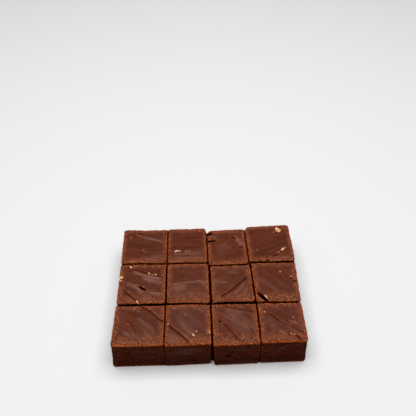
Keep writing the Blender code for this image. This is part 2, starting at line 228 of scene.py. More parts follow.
LIPPED, DARK = 2.5, 2.0  # a crack of this depth has a full torn lip, and is painted in full shade inside
# Holes in the front: x, height, width, height of the hole, depth.
FRONT_HOLES = (
    (12.3, 11.2, 3.9, 2.4, 2.6),
    (15.2, 15.6, 2.6, 1.0, 0.9),
    (-11.0, 5.5, 3.0, 1.4, 1.0),
    (52.5, 17.5, 1.4, 0.9, 0.8),
    (-58.0, 9.5, 1.6, 0.9, 0.8),
    (-22.5, 18.0, 1.5, 0.8, 0.6),
)
HOLE_MIDDLE = 0.4  # how far in from the front their middles lie
# Creases in the front: points in x and height, half width and depth.
FRONT_CREASES = (
    (((42.0, 14.5), (45.0, 17.0), (48.0, 20.0), (50.5, 23.5)), 0.45, 0.5),
    (((53.0, 12.0), (57.0, 15.0), (60.5, 19.0)), 0.4, 0.3),
    (((-62.0, 20.0), (-54.0, 16.5), (-46.0, 14.5), (-36.0, 13.5)), 0.5, 0.25),
    (((-60.0, 13.0), (-50.0, 9.0), (-40.0, 7.5)), 0.5, 0.25),
    (((-27.0, 13.0), (-20.0, 11.5), (-12.0, 12.5), (-6.0, 11.0)), 0.5, 0.3),
    (((5.0, 17.0), (10.0, 18.0), (16.0, 16.5), (22.0, 17.5)), 0.45, 0.3),
    (((14.0, 6.0), (21.0, 7.5), (30.0, 6.5)), 0.5, 0.3),
)

# Bits of walnut on the top: x, y, length, width, degrees from +x.
WALNUT_BITS = (
    (-23.7, 29.0, 2.7, 1.7, 20), (-21.3, 29.2, 2.5, 0.7, -5), (56.2, 49.5, 3.4, 2.0, 70),
    (58.0, 49.4, 2.8, 1.7, 20), (58.8, 47.8, 2.8, 1.6, 60), (56.9, 47.6, 1.8, 1.2, 80),
    (54.6, 46.4, 1.3, 1.0, 30), (55.9, 26.0, 1.4, 0.8, 55), (58.5, 28.1, 3.4, 2.0, 46),
    (61.0, 29.9, 2.8, 0.5, 34), (-58.8, 14.7, 3.0, 1.4, -33), (-44.2, 8.0, 1.8, 0.9, -35),
    (-42.1, 7.0, 1.7, 0.8, -15), (-40.1, 6.7, 2.4, 1.9, 20), (-65.0, 5.0, 2.4, 2.0, 10),
    (-64.8, 1.7, 1.6, 1.0, -60), (-51.3, -17.6, 2.8, 1.0, -55), (54.5, 6.8, 1.4, 1.2, 0),
    (62.5, 1.9, 1.5, 1.3, 0), (41.3, -15.6, 3.4, 0.9, -54), (-17.5, -29.9, 1.4, 1.2, 0),
    (-11.8, -45.9, 2.4, 1.2, -45), (-9.2, -43.4, 1.3, 1.1, 0), (54.5, -47.2, 1.7, 1.1, 20),
    (57.3, -47.3, 1.4, 1.0, -10), (23.0, 43.2, 1.3, 0.9, 0), (8.7, -37.0, 1.2, 0.9, 0),
    (-29.4, -36.6, 1.6, 0.9, 20), (58.4, 17.2, 0.9, 2.0, 10), (54.6, 25.0, 1.2, 0.9, 0),
    (39.2, 27.9, 1.0, 0.9, 0), (39.0, -28.8, 1.2, 1.0, 0), (58.2, -34.1, 1.2, 1.0, 0),
    (-53.3, -23.9, 1.1, 1.0, 0), (-50.2, -26.1, 1.1, 0.9, 0), (-56.8, -36.8, 1.1, 0.9, 0),
    (-41.8, -17.8, 1.3, 0.9, 15), (-17.0, 28.8, 1.0, 0.7, 0), (-15.5, 28.8, 0.9, 0.7, 0),
    (-14.0, 29.2, 0.9, 0.7, 0), (-49.5, 30.9, 0.8, 0.7, 0), (-47.5, 29.0, 0.9, 0.7, 0),
    (-60.5, 43.9, 1.1, 0.9, 0), (-1.7, -42.9, 1.4, 1.1, 40), (-0.4, -44.3, 1.3, 1.2, 0),
    (-2.5, -44.9, 1.4, 1.0, -20), (-0.7, -41.9, 1.1, 0.8, 60), (3.5, -18.6, 1.5, 1.0, 20),
    (4.9, -18.3, 1.4, 0.9, 30),
)
WALNUT_HEIGHT = 1.0

# What the spatula drew in the top, as length and width of one lump, and how high it stands.
SWATHE_SIZE, SWATHE = (24.0, 3.6), 0.16
STREAK_SIZE, STREAK = (11.0, 1.2), 0.045
FINE_SIZE, FINE = (7.0, 0.6), 0.02

# The rough band along the edges, for a square's front, right, back and left edge. The larger the number,
# the narrower the band. It is widest in front, and narrower in the back row.
FROM_EDGES = np.array((0.6, 1.3, 1.25, 1.3))
FROM_BACK_EDGES = np.array((0.95, 1.7, 1.35, 1.7))
BAND_REACH = 7.0  # how far in the band reaches where its number is 1
# Its relief, as size and height: grain, lumps, and threads that the knife dragged along the edge.
GRAIN_SIZE, GRAIN = 0.75, 0.11
LUMP_SIZE, LUMP = 1.7, 0.1
THREAD_SIZE, THREAD = (4.5, 0.42), 0.06
LIP = 0.16  # how high the torn lip of a crack stands
NUT_HOLLOW = 0.2  # how deep a large bit of walnut is pressed in

# The rims, in the same order of edges: how wide they are, and how far the knife pushed back those that
# face another square.
RIM_WIDTH = np.array((1.15, 0.8, 1.1, 0.8))
RIM_PUSH = np.array((0.55, 0.18, 0.5, 0.18))
RIM_RAISED = 0.5  # how far it pressed them up
RIM_CRUMBS = 0.32
BACK_RIMS = 0.8  # the back row's rims have fewer crumbs
BITES = 0.2  # how deep pieces are torn out of a rim, before what cuts and the front add
# The cuts that stand open have their rims pushed back by this much more.
OPEN_CUTS = {
    "middle_1": (0.35, 0, 0, 0),
    "middle_3": (0.4, 0, 0, 0),
    "front_1": (0, 0, 0.4, 0),
    "front_3": (0, 0, 0.45, 0),
}
UNDERCUT = 0.8  # the knife dragged this much out of the inner walls under the rims
OUTER_UNDERCUT = 0.25  # and this much out of the slab's own sides
# Relief of the cut sides: scrapes, lumps, pits and creases.
SCRAPE, SIDE_LUMP, PIT, CREASE = 0.14, 0.1, 0.35, 0.45
# A face has the cut finish this far below the top, or from this depth on where it is as steep as that.
CUT_DEPTH, STEEP_DEPTH, STEEP = 2.0, 0.9, 0.25

# How far a square's corners are rounded off, from front left round to back left.
WORN_CORNERS = {
    "back_1": (0.4, 0.4, 0.3, 0.8),
    "back_2": (0.4, 0.4, 0.8, 0.3),
    "back_3": (0.4, 0.4, 0.7, 1.1),
    "back_4": (0.5, 0.6, 0.7, 1.3),
    "middle_1": (0.25, 0.4, 0.4, 0.6),
    "front_1": (0.7, 0.3, 0.4, 0.3),
    "front_2": (0.3, 0.25, 0.4, 0.5),
    "front_3": (0.25, 0.3, 0.4, 0.4),
    "front_4": (0.3, 0.9, 0.5, 0.4),
}
USUAL_WEAR = (0.5, 0.5, 0.5, 0.5)

# Loose crumbs along the rims. Real ones go down to dust, and the render shows none under 0.3 mm.
CRUMBS_PER_MM = 1.1
CRUMB_SIZE = (0.3, 0.85)
CRUMB_REACH = 3.6  # how far in from a rim they lie
BIT_SHAPES = 8  # bits and crumbs are copies of so many shapes each
BREAKS = 5  # flat breaks of each shape
BROKEN_OFF = 1.4  # a broken ball is this much smaller than before
LARGE_BIT = 1.5  # longer bits lie in a hollow of their own, and have pale flesh instead of skin
SEED = 7

# Fudge left in the cuts: the squares on both sides, how far below their tops it ends at its near and at its
# far end, and the share of the squares' sides from where to where it goes.
WEBS = (
    ("back_1", "back_2", 0.8, 0.15, -0.02, 0.99),
    ("back_2", "back_3", 3.4, 1.3, -0.02, 0.965),
    ("back_3", "back_4", 1.5, 0.3, -0.02, 0.98),
    ("middle_1", "middle_2", 19.0, 19.0, 0.0, 1.0),
    ("middle_2", "middle_3", 19.0, 19.0, 0.0, 1.0),
    ("middle_3", "middle_4", 12.0, 12.0, 0.0, 1.0),
    ("front_1", "front_2", 2.2, 8.0, 0.008, 1.02),
    ("front_2", "front_3", 21.0, 21.0, 0.1, 1.02),
    ("front_3", "front_4", 3.2, 12.0, 0.025, 1.02),
    ("middle_4", "back_4", 0.9, 2.4, 0.01, 0.23),
    ("middle_1", "back_1", 1.9, 3.0, 0.03, 0.2),
    ("middle_4", "back_4", 3.0, 1.9, 0.8, 0.97),
    ("front_1", "middle_1", 2.2, 3.4, 0.012, 0.2),
    ("front_4", "middle_4", 3.2, 1.9, 0.8, 0.97),
    ("front_4", "middle_4", 0.9, 2.2, 0.01, 0.21),
)
# The cuts between rows are also closed at the bottom: which rows, how far down, and from where to where in
# each column.
LOW_WEBS = (("middle", "back"), ("front", "middle"))
LOW_WEB_DEPTH = 20.0
LOW_WEB_REACH = ((0.03, 1.0), (0.0, 1.0), (0.0, 1.0), (0.0, 0.97))
WEB_ROOT = 1.6  # how far a web goes on into the squares
WEB_CUTS = 24  # how finely it is divided


def colour(code):
    """A linear colour from an sRGB hex value."""
    channels = [int(code[i:i + 2], 16) / 255 for i in (1, 3, 5)]
    return tuple(c / 12.92 if c <= 0.04045 else ((c + 0.055) / 1.055) ** 2.4 for c in channels) + (1.0,)


def smooth(values, start, end):
    """0 at start, 1 at end, with an easy curve between. start may be the larger."""
    share = np.clip((values - start) / (end - start), 0, 1)
    return share * share * (3 - 2 * share)


def ripple(points, size, seed=0.0):
    """Soft noise from about -1 to 1 at each point, or place in plan, with lumps of that size."""
    shift = Vector((seed * 3.7, seed * 1.3, seed * 2.1))
    points = np.pad(points, ((0, 0), (0, 3 - points.shape[1])))
    return np.array([noise.noise(Vector(p) + shift) for p in points / size])


def deselect():
    bpy.ops.object.select_all(action="DESELECT")


def pick(piece):
    """Makes a piece the only one selected, and the active one."""
    deselect()
    piece.select_set(True)
    bpy.context.view_layer.objects.active = piece


def settle(piece):
    """Writes a piece's place into its mesh."""
    pick(piece)
    bpy.ops.object.transform_apply(location=True, rotation=True, scale=True)


def edit(piece, operator, **settings):
    """Uses one of edit mode's operators on all of a piece."""
    pick(piece)
    bpy.ops.object.mode_set(mode="EDIT")
    bpy.ops.mesh.select_all(action="SELECT")
    operator(**settings)
    bpy.ops.object.mode_set(mode="OBJECT")


def finish_with(piece, kind, **settings):
    """Adds a modifier with its settings and applies it."""
    modifier = piece.modifiers.new(kind.lower(), kind)
    for name, value in settings.items():
        setattr(modifier, name, value)
    pick(piece)
    bpy.ops.object.modifier_apply(modifier=modifier.name)


def rows_of(parts, name):
    """One of the values of a mesh's points or faces, in a row for each."""
    flat = np.empty(len(parts) * 3, np.float32)
    parts.foreach_get(name, flat)
    return flat.reshape(-1, 3).astype(float)


def places_of(piece):
    """A piece's points in mm."""
    return rows_of(piece.data.vertices, "co") / MM


def normals_of(piece):
    return rows_of(piece.data.vertex_normals, "vector")


def move_to(piece, points):
    piece.data.vertices.foreach_set("co", (points * MM).astype(np.float32).ravel())
    piece.data.update()


def even_cube(middle, size, cuts):
    """A box at its size and place, with every face divided evenly."""
    deselect()
    bpy.ops.mesh.primitive_cube_add(size=1.0, location=middle, scale=size)
    piece = bpy.context.object
    settle(piece)
    edit(piece, bpy.ops.mesh.subdivide, number_cuts=cuts)
    return piece


def top_wave(points):
    """Height of the long waves at each place in plan."""
    places = [Vector((x / WAVE_LENGTH, y / WAVE_LENGTH, 0.5)) for x, y in points]
    return WAVE_HEIGHT * np.array([noise.noise(place) for place in places])


class Walls:
    """The four walls and the height of a square, read from its solid in the frame."""

    def __init__(self, node):
        points = places_of(frame["nodes"][node])
        flat_top = points[points[:, 2] > points[:, 2].max() - 4]
        self.height = float(np.median(flat_top[:, 2] - top_wave(flat_top[:, :2])))
        middle = points[(points[:, 2] > 0.55 * self.height) & (points[:, 2] < 0.75 * self.height)]
        base = points[points[:, 2] < 0.02 * self.height]
        self.base = np.array([self.corner(base, *signs) for signs in ((-1, -1), (1, -1), (1, 1), (-1, 1))])
        upper = [self.corner(middle, *signs) for signs in ((-1, -1), (1, -1), (1, 1), (-1, 1))]
        level = np.median(middle[:, 2])
        self.top = self.base + (np.array(upper) - self.base) * self.height / level

    def corner(self, points, right, back):
        """The corner of some points towards one side and one end, before it was worn."""
        found = points[np.argmax(points[:, 0] * right + points[:, 1] * back)]
        return found[:2] + CORNER_WEAR * np.array((right, back))

    def corners_at(self, height):
        """The four corners at each height, from front left round to back left."""
        share = (height / self.height)[:, None, None]
        return self.base + (self.top - self.base) * share

    def distances(self, points):
        """How far in each point lies from the front, right, back and left walls."""
        corners = self.corners_at(points[:, 2])
        found = []
        for number in range(4):
            start, end = corners[:, number], corners[:, (number + 1) % 4]
            way, reach = end - start, points[:, :2] - start
            cross = way[:, 0] * reach[:, 1] - way[:, 1] * reach[:, 0]
            found.append(cross / np.linalg.norm(way, axis=1))
        return np.array(found)


def rough_block(node, walls):
    """A cube at the solid's place, moved to its slanting walls and waved top, with worn edges."""
    low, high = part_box(node)
    block = even_cube((low + high) / 2, high - low, BLOCK_CUTS)
    block.name = node.replace("square", "fudge")
    points = places_of(block)
    share = (points - points.min(0)) / (points.max(0) - points.min(0))
    corners = walls.corners_at(share[:, 2] * walls.height)
    right, back = share[:, 0:1], share[:, 1:2]
    front_line = corners[:, 0] + (corners[:, 1] - corners[:, 0]) * right
    back_line = corners[:, 3] + (corners[:, 2] - corners[:, 3]) * right
    plan = front_line + (back_line - front_line) * back
    height = share[:, 2] * (walls.height + top_wave(plan))
    move_to(block, np.column_stack((plan, height)))
    edges = {"limit_method": "ANGLE", "angle_limit": math.radians(45)}
    finish_with(block, "BEVEL", width=EDGE_WEAR * MM, segments=3, **edges)
    return block


def hollow(place, size, turn):
    """A ball drawn out into a lens, to carve a crack or a hole with."""
    deselect()
    bpy.ops.mesh.primitive_ico_sphere_add(subdivisions=3, radius=1.0, location=[c * MM for c in place])
    lens = bpy.context.object
    lens.scale = [s * MM / 2 for s in size]
    lens.rotation_euler = Euler((0, 0, math.radians(turn)))
    settle(lens)
    points = places_of(lens)
    move_to(lens, points + 0.3 * normals_of(lens) * ripple(points, 1.0)[:, None])
    return lens


def carve(block, lenses):
    """Takes all the lenses that reach the block out of it."""
    low, high = places_of(block).min(0), places_of(block).max(0)
    near = bpy.data.collections.new("near")
    for lens in lenses:
        points = places_of(lens)
        if (points.min(0) < high - 0.2).all() and (points.max(0) > low + 0.2).all():
            near.objects.link(lens)
    if near.objects:
        way = {"operation": "DIFFERENCE", "operand_type": "COLLECTION", "solver": "EXACT"}
        finish_with(block, "BOOLEAN", collection=near, **way)
    bpy.data.collections.remove(near)


def smooth_line(points, step=0.4):
    """A soft line through points in plan, as places and directions a step apart."""
    points = np.array(points, float)
    ends = np.vstack((2 * points[0] - points[1], points, 2 * points[-1] - points[-2]))
    found = []
    for a, b, c, d in zip(ends, ends[1:], ends[2:], ends[3:]):
        count = max(2, int(np.linalg.norm(c - b) / step))
        t = np.linspace(0, 1, count, endpoint=False)[:, None]
        bent = (2 * a - 5 * b + 4 * c - d) * t**2 + (3 * b - a - 3 * c + d) * t**3
        found.append(0.5 * (2 * b + (c - a) * t + bent))
    line = np.vstack(found + [points[-1:]])
    return line, np.gradient(line, axis=0)


def along_line(plan, points, margin):
    """Which places lie near a line, how far to its left, and how far from its ends."""
    line, ways = smooth_line(points)
    close = np.all((plan > line.min(0) - margin) & (plan < line.max(0) + margin), axis=1)
    which = np.nonzero(close)[0]
    if not len(which):
        return which, np.empty(0), np.empty(0)
    gaps = np.linalg.norm(plan[which, None] - line[None], axis=2)
    nearest = gaps.argmin(1)
    reach = plan[which] - line[nearest]
    way = ways[nearest]
    side = np.sign(way[:, 0] * reach[:, 1] - way[:, 1] * reach[:, 0])
    walked = np.concatenate(([0], np.cumsum(np.linalg.norm(np.diff(line, axis=0), axis=1))))
    to_end = np.minimum(walked, walked[-1] - walked)[nearest]
    return which, side * gaps.min(1), to_end


def stroke_relief(plan):
    """Height that the strokes give each place, and how far it is in a groove and on a torn lip."""
    relief, crease, lip = np.zeros((3, len(plan)))
    for points, half_width, depth, left, right in STROKES:
        which, across, to_end = along_line(plan, points, 3 * REACH)
        if not len(which):
            continue
        across = across + 0.25 * ripple(plan[which], 2.2, 4)
        fade = smooth(to_end, -0.5, 3.5)
        groove = np.exp(-(across / half_width) ** 2)
        bank = np.where(across > 0, left, right) * np.exp(-np.abs(across) / REACH)
        ease = 1 - 0.9 * np.exp(-(across / (0.6 * half_width)) ** 2)
        relief[which] += fade * (bank * ease - depth * groove)
        weight = fade * min(1.0, depth / DEEP_STROKE)
        crease[which] = np.maximum(crease[which], weight * groove)
        raised = across if left > right else -across
        torn = np.exp(-((raised - half_width - 0.25) / LIP_WIDTH) ** 2)
        lip[which] = np.maximum(lip[which], weight * torn)
    return relief, crease, lip


def polish(plan):
    """How polished each place is, and so how much painted sheen it has, from 0 to 1."""
    shine = np.zeros(len(plan))
    for points, half_width, strength in POLISHED:
        which, across, to_end = along_line(plan, points, 2.5 * half_width)
        if len(which):
            width = half_width * (1 + 0.5 * ripple(plan[which], 3.5, 8))
            fade = smooth(to_end, -0.2, min(4.0, 0.9 * to_end.max()))
            shine[which] = np.maximum(shine[which], 1.15 * strength * fade * np.exp(-(across / width) ** 2))
    return shine


def turned(plan, centre, degrees):
    """How far each place lies from a centre, along a direction and across it."""
    angle = math.radians(degrees)
    reach = plan - centre
    along = reach[:, 0] * math.cos(angle) + reach[:, 1] * math.sin(angle)
    return along, reach[:, 1] * math.cos(angle) - reach[:, 0] * math.sin(angle)


def drawn(plan, centre, way, size, seed):
    """Noise drawn out along the spatula's way, in lumps of that length and width."""
    along, across = turned(plan, centre, way[0])
    across = across + way[1] * along**2
    return ripple(np.column_stack((along / size[0], across / size[1])), 1.0, seed)


def dragged(plan, to_walls, walls, seed):
    """Noise in threads that run along the nearest wall, where the knife dragged crumbs with it."""
    nearest = to_walls.argmin(0)
    start = walls.top[nearest]
    way = np.roll(walls.top, -1, axis=0)[nearest] - start
    along = ((plan - start) * way).sum(1) / np.linalg.norm(way, axis=1)
    length, width = THREAD_SIZE
    return ripple(np.column_stack((along / length, to_walls.min(0) / width, 10.0 * nearest)), 1.0, seed)


def write_marks(piece, **marks):
    """Keeps values at a piece's points, for its materials to read."""
    for name, values in marks.items():
        attribute = piece.data.attributes.new(name, "FLOAT", "POINT")
        attribute.data.foreach_set("value", np.clip(values, 0, 1).astype(np.float32))


def outside(plan, x, y, length, width, turn):
    """How far outside an oval each place in plan lies."""
    along, across = turned(plan, (x, y), turn)
    return (np.hypot(along / (0.5 * length), across / (0.5 * width)) - 1) * 0.5 * width


def crack_marks(plan):
    """How near each place is to the torn lip of a crack, and how far inside one, from 0 to 1; the inside is
    painted in shade.
    """
    lips, inside = np.zeros((2, len(plan)))
    for x, y, length, width, depth, turn in CRACKS:
        out = outside(plan, x, y, length, width, turn)
        lips = np.maximum(lips, min(1.0, depth / LIPPED) * smooth(out, 0.65, 0.15) * smooth(out, -0.1, 0.15))
        inside = np.maximum(inside, min(1.0, depth / DARK) * smooth(out, 0.2, -0.15))
    return lips, inside


def nut_hollows(plan):
    """How far down each place is in the hollow round a bit of walnut, from 0 to 1; the hollow is painted in
    shade.
    """
    hollows = np.zeros(len(plan))
    for x, y, length, width, turn in WALNUT_BITS:
        if length > LARGE_BIT:
            hollows = np.maximum(hollows, smooth(outside(plan, x, y, length, width, turn), 1.0, 0.1))
    return hollows


def front_marks(points):
    """How far each place of the front is in a crease or a hole, and how smooth it is, from 0 to 1. The
    smooth places get a painted sheen.
    """
    face = points[:, (0, 2)]
    creases, holes, pressed = np.zeros((3, len(points)))
    for line, half_width, depth in FRONT_CREASES:
        which, across, to_end = along_line(face, line, 4 * half_width)
        if len(which):
            groove = np.exp(-(across / half_width) ** 2) * smooth(to_end, -0.5, 3.0)
            creases[which] = np.maximum(creases[which], min(1.0, 2 * depth) * groove)
    for x, z, width, height, _ in FRONT_HOLES:
        holes = np.maximum(holes, smooth(outside(face, x, z, width, height, 0), 0.25, -0.15))
    for oval in PRESSED:
        pressed = np.maximum(pressed, smooth(outside(face, *oval) + 1.2 * ripple(points, 3.0, 5), 1.0, -2.5))
    return creases, holes, pressed


def inner_walls(node):
    """Which of a square's front, right, back and left walls face another square."""
    row, column = node.split("_")[1:]
    return np.array([row != "front", column != "4", row != "back", column != "1"], float)


def spread_and_cut(block, node, walls):
    """Gives the fine skin its relief: strokes, rims and cut sides."""
    name = node.removeprefix("square_")
    points, normals = places_of(block), normals_of(block)
    plan, rise = points[:, :2], normals[:, 2]
    to_walls = walls.distances(points)
    from_walls, nearest = to_walls.min(0), to_walls.argmin(0)
    facing = inner_walls(node)
    in_cut = facing[nearest]
    from_outside = np.where(facing[:, None] > 0, np.inf, to_walls).min(0)
    depth = walls.height + top_wave(plan) - points[:, 2]
    seed = SQUARES.index(node) + 1
    # How far each place belongs to the top and to the sides.
    up = smooth(rise, 0.35, 0.8) * smooth(depth, 2.5, 1.0)
    side = (1 - smooth(rise, 0.3, 0.7)) * smooth(points[:, 2], 0.1, 0.6)

    # The spread top.
    centre = walls.top.mean(0)
    top_relief, crease, shine, band, lips, threads = np.zeros((6, len(points)))
    streak = np.full(len(points), 0.5)
    top = np.nonzero(up > 0)[0]
    here = plan[top]
    strokes, grooves, torn_lines = stroke_relief(here)
    lips[top], cracks = crack_marks(here)
    torn_lines *= smooth(ripple(points[top], 2.0, seed + 10), -0.5, 0.4)
    lips[top] = np.maximum(lips[top], 0.6 * torn_lines)
    hollows = nut_hollows(here)
    # Painted shade: grooves, cracks and the hollows round the nuts are painted darker red-brown.
    crease[top] = np.maximum.reduce((grooves, cracks, 0.7 * hollows))
    swathes = drawn(here, centre, SPREAD[name], SWATHE_SIZE, seed)
    streaks = drawn(here, centre, SPREAD[name], STREAK_SIZE, seed + 20)
    fine = drawn(here, centre, SPREAD[name], FINE_SIZE, seed + 30)
    streak[top] = 0.5 + 0.4 * swathes + 0.4 * streaks + 0.35 * fine
    shine[top] = polish(here) * np.clip(1.0 + 0.9 * streaks + 0.6 * fine, 0.25, 1.4)
    inner = smooth(from_walls[top], 1.0, 6.0)
    in_back = name.startswith("back")
    to_edges = to_walls[:, top] * (FROM_BACK_EDGES if in_back else FROM_EDGES)[:, None]
    band[top] = smooth(to_edges.min(0) + 1.8 * ripple(points[top], 3.6, seed), BAND_REACH, 0.5)
    threads[top] = band[top] * smooth(dragged(here, to_walls[:, top], walls, seed + 50), 0.05, 0.45)
    quiet = 1 - 0.7 * shine[top]
    top_relief[top] = (
        strokes
        + SWATHE * swathes * (0.4 + 0.6 * inner)
        + (STREAK * streaks + FINE * fine) * quiet
        + GRAIN * ripple(points[top], GRAIN_SIZE, seed + 40) * (0.1 + 0.9 * band[top]) * quiet
        + LUMP * ripple(points[top], LUMP_SIZE, seed + 60) * band[top]
        + THREAD * threads[top]
        + LIP * lips[top]
        - NUT_HOLLOW * hollows
    )

    # The rims, which reach less far down than in, most of all in a cut.
    ragged = 0.6 * ripple(points, 2.4, seed + 70) + 0.5 * ripple(points, 1.0, seed + 75)
    width = np.maximum(RIM_WIDTH[nearest] * (1 + ragged), 0.4)
    from_rim = np.hypot(np.maximum(from_walls - 0.35, 0), (1.7 + 0.8 * in_cut) * np.maximum(depth - 0.3, 0))
    rim = smooth(from_rim, width, 0.05) * smooth(rise, -0.6, 0.1)
    crumbs, bites = np.zeros((2, len(points)))
    near = np.nonzero(rim > 0)[0]
    crumbs[near] = ripple(points[near], 1.5, seed + 80) + 0.6 * ripple(points[near], 0.7, seed + 90)
    bites[near] = smooth(ripple(points[near], 3.4, seed + 100), 0.25, 0.6)
    push = (RIM_PUSH + OPEN_CUTS.get(name, 0))[nearest]
    lift = RIM_RAISED * np.clip(rise, 0, 1) - push * in_cut - 0.1
    in_front = (nearest == 0) * (1 - in_cut)
    torn = BITES + 0.25 * in_cut + 0.55 * in_front
    rim_relief = rim * (lift + (RIM_CRUMBS + 0.2 * in_front) * crumbs - torn * bites)

    # The cut sides, with scrapes that are drawn out along the cut.
    cut_relief, scrape, pressed = np.zeros((3, len(points)))
    sides = np.nonzero(side > 0)[0]
    scrape[sides] = ripple(points[sides] * np.array((0.35, 0.35, 1.0)), 1.6, seed + 120)
    lumps = ripple(points[sides], 1.0, seed + 140)
    pits = smooth(ripple(points[sides], 1.9, seed + 160), 0.42, 0.7)
    within = in_cut[sides] * smooth(from_outside[sides], 0.5, 3.5)
    undercut = OUTER_UNDERCUT + (UNDERCUT - OUTER_UNDERCUT) * within
    undercut = undercut * smooth(depth[sides], 0.4, 1.1) * smooth(points[sides, 2], 2.0, 8.0)
    creases, holes, pressed[sides] = np.array(front_marks(points[sides])) * in_front[sides]
    grain = (SCRAPE * scrape[sides] + SIDE_LUMP * lumps - PIT * pits) * (1 - 0.6 * pressed[sides])
    cut_relief[sides] = grain - undercut - CREASE * creases
    crease[sides] = np.maximum(crease[sides], creases)
    # Painted shade: the walls far down in a cut, the insides of cracks and the holes in the front are
    # painted near black.
    deep = in_cut * smooth(depth, 0.3, 0.8) * smooth(rise, 0.6, 0.2)
    deep[top] = np.maximum(deep[top], cracks)
    deep[sides] = np.maximum(deep[sides], holes)
    upright = side * smooth(np.sort(to_walls, axis=0)[1], 0.9, 0.25) * smooth(depth, 20.0, 4.0)
    near = np.nonzero(upright > 0)[0]
    upright[near] *= smooth(ripple(points[near], 1.3, seed + 110), -0.3, 0.3)

    # The two kinds of relief are put together, and the corners are worn.
    moved = points + normals * (side * cut_relief + rim_relief)[:, None]
    moved[:, 2] += up * top_relief
    for number, wear in enumerate(WORN_CORNERS.get(name, USUAL_WEAR)):
        corners = walls.corners_at(points[:, 2])
        reach = plan - corners[:, number]
        inward = centre - walls.top[number]
        worn = wear * smooth(np.linalg.norm(reach, axis=1), 2.0 * wear + 0.6, 0.0)
        moved[:, :2] += worn[:, None] * inward / np.linalg.norm(inward)
    moved[:, 2] = np.maximum(moved[:, 2], 0)
    move_to(block, moved)
    rims = rim * (BACK_RIMS if in_back else 1)
    write_marks(
        block,
        rim=np.maximum.reduce((rims * (0.95 + 0.4 * crumbs), 0.8 * lips, 0.75 * upright)) * (1 - crease),
        band=band,
        crease=crease,
        shine=shine * (1 - rim),
        streak=streak,
        threads=threads,
        scrape=0.5 + 0.5 * scrape,
        deep=deep,
        foot=side * smooth(points[:, 2], 3.2, 0.6),
        # painted shade: the cut sides are painted darker towards the bottom
        low=smooth(points[:, 2], 17.0, 4.0),
        pressed=pressed,
    )


def dress_square(block, node, spread, cut):
    """The spread top and the cut sides are two finishes of the same fudge."""
    for finish in (spread, cut):
        block.data.materials.append(finish)
    faces = block.data.polygons
    depth = places_of(block)[:, 2].max() - rows_of(faces, "center")[:, 2] / MM
    is_cut = (depth > CUT_DEPTH) | ((rows_of(faces, "normal")[:, 2] < STEEP) & (depth > STEEP_DEPTH))
    faces.foreach_set("material_index", is_cut.astype(np.int32))
    pick(block)
    bpy.ops.object.shade_smooth()
    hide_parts(node)
    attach(block, "root")


def web(first, second, sides, below, reach, finish):
    """Fudge that the knife left whole at the bottom of a cut, or that closed again behind it."""
    piece = even_cube((0.5, 0.5, 0.5), (1, 1, 1), WEB_CUTS)
    share = places_of(piece) * MM
    drop = below[0] + (below[1] - below[0]) * smooth(share[:, 1], 0.45, 0.95)
    height = share[:, 2] * (min(first.height, second.height) - drop)
    along = (reach[0] + (reach[1] - reach[0]) * share[:, 1])[:, None]
    lines = []
    for walls, (start, end) in ((first, sides[0]), (second, sides[1])):
        corners = walls.corners_at(height)
        lines.append(corners[:, start] * (1 - along) + corners[:, end] * along)
    way = lines[1] - lines[0]
    way *= WEB_ROOT / np.linalg.norm(way, axis=1)[:, None]
    way *= 1 - smooth(np.abs(2 * share[:, 1:2] - 1), 0.85, 1.0)
    across = share[:, 0:1]
    plan = (lines[0] - way) * (1 - across) + (lines[1] + way) * across
    points = np.column_stack((plan, height))
    rough = ripple(points, 1.6, below[0]) + 0.6 * ripple(points, 0.8, 3)
    points[:, 2] += share[:, 2] * (0.4 * rough + 0.4 * ripple(points, 5.0, 9))
    move_to(piece, points)
    piece.data.materials.append(finish)
    edit(piece, bpy.ops.mesh.normals_make_consistent, inside=False)
    bpy.ops.object.shade_smooth()
    return piece


def make_webs(all_walls, finish):
    """The webs in all the cuts, as one piece."""
    rows = [
        (f"{front}_{column}", f"{back}_{column}", LOW_WEB_DEPTH, LOW_WEB_DEPTH, *reach)
        for front, back in LOW_WEBS
        for column, reach in enumerate(LOW_WEB_REACH, 1)
    ]
    webs = []
    for first, second, near, far, start, end in (*WEBS, *rows):
        in_one_row = first.split("_")[0] == second.split("_")[0]
        sides = ((1, 2), (0, 3)) if in_one_row else ((3, 2), (0, 1))
        both = (all_walls[f"square_{name}"] for name in (first, second))
        webs.append(web(*both, sides, (near, far), (start, end), finish))
    webs = join(webs, "webs_in_cuts")
    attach(webs, "root")


def level_at(x, y, squares):
    """Height of the finished top at a place in plan, from the square that has it."""
    hits = [tree.ray_cast(Vector((x, y, FAR_ABOVE)), Vector((0, 0, -1)))[0] for tree in squares]
    return max((hit.z for hit in hits if hit is not None), default=USUAL_HEIGHT)


def broken_ball(draw, faces, roughness):
    """A ball one mm across, broken flat on several sides and left rough."""
    deselect()
    bpy.ops.mesh.primitive_ico_sphere_add(subdivisions=faces, radius=0.5 * MM)
    bit = bpy.context.object
    for _ in range(BREAKS):
        way = Vector((draw.uniform(-1, 1), draw.uniform(-1, 1), draw.uniform(-0.2, 1))).normalized()
        place = way * draw.uniform(0.2, 0.38) * MM
        edit(bit, bpy.ops.mesh.bisect, plane_co=place, plane_no=way, use_fill=True, clear_outer=True)
    points = places_of(bit)
    move_to(bit, points + normals_of(bit) * roughness * ripple(points, 0.4, draw.uniform(0, 9))[:, None])
    return bit


def copy_of(shape, place, size, turn, tilt):
    """A copy of a shape with its own mesh, drawn out to a size, turned and put in its place."""
    piece = shape.copy()
    piece.data = shape.data.copy()
    turned = Euler((*tilt, math.radians(turn))).to_matrix().to_4x4()
    at = Matrix.Translation(Vector(place) * MM)
    piece.data.transform(at @ turned @ Matrix.Diagonal((*size, 1.0)))
    bpy.context.scene.collection.objects.link(piece)
    return piece


def join(bits, name):
    deselect()
    for bit in bits:
        bit.select_set(True)
    bpy.context.view_layer.objects.active = bits[0]
    bpy.ops.object.join()
    joined = bpy.context.object
    joined.name = name
    return joined


